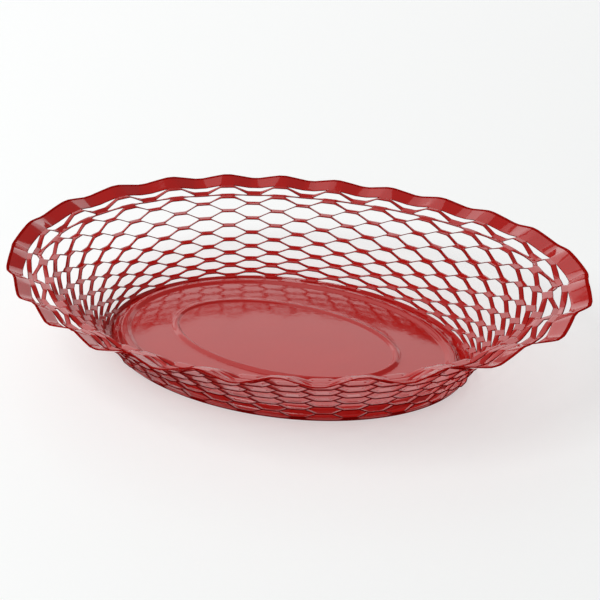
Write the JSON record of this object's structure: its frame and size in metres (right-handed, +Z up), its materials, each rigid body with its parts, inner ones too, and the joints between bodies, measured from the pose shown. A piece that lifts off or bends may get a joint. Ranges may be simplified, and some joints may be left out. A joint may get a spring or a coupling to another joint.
{
  "type": "egg collection basket",
  "caption": "Oval red enamelled egg basket of slit and drawn tinplate: solid base pan, open wall of hexagon cells and a fluted rim flange.",
  "frame": {"origin": "on the plane the basket stands on, under the centre of the rim's bounding box", "axes": "+X along the oval's long axis, +Y along the short axis, +Z up"},
  "size_m": [0.3544, 0.2882, 0.0618],
  "materials": {
    "pan": "glossy red enamel",
    "strands": "glossy red enamel, edges enamelled too",
    "flange": "glossy red enamel"
  },
  "bodies": {
    "root": {"base_pan": "pan", "strand_ring_01": "strands", "strand_ring_02": "strands", "strand_ring_03": "strands", "strand_ring_04": "strands", "strand_ring_05": "strands", "strand_ring_06": "strands", "strand_ring_07": "strands", "strand_ring_08": "strands", "strand_ring_09": "strands", "strand_ring_10": "strands", "strand_ring_11": "strands", "strand_ring_12": "strands", "strand_ring_13": "strands", "strand_ring_14": "strands", "rim_flange": "flange"}
  },
  "joints": []
}
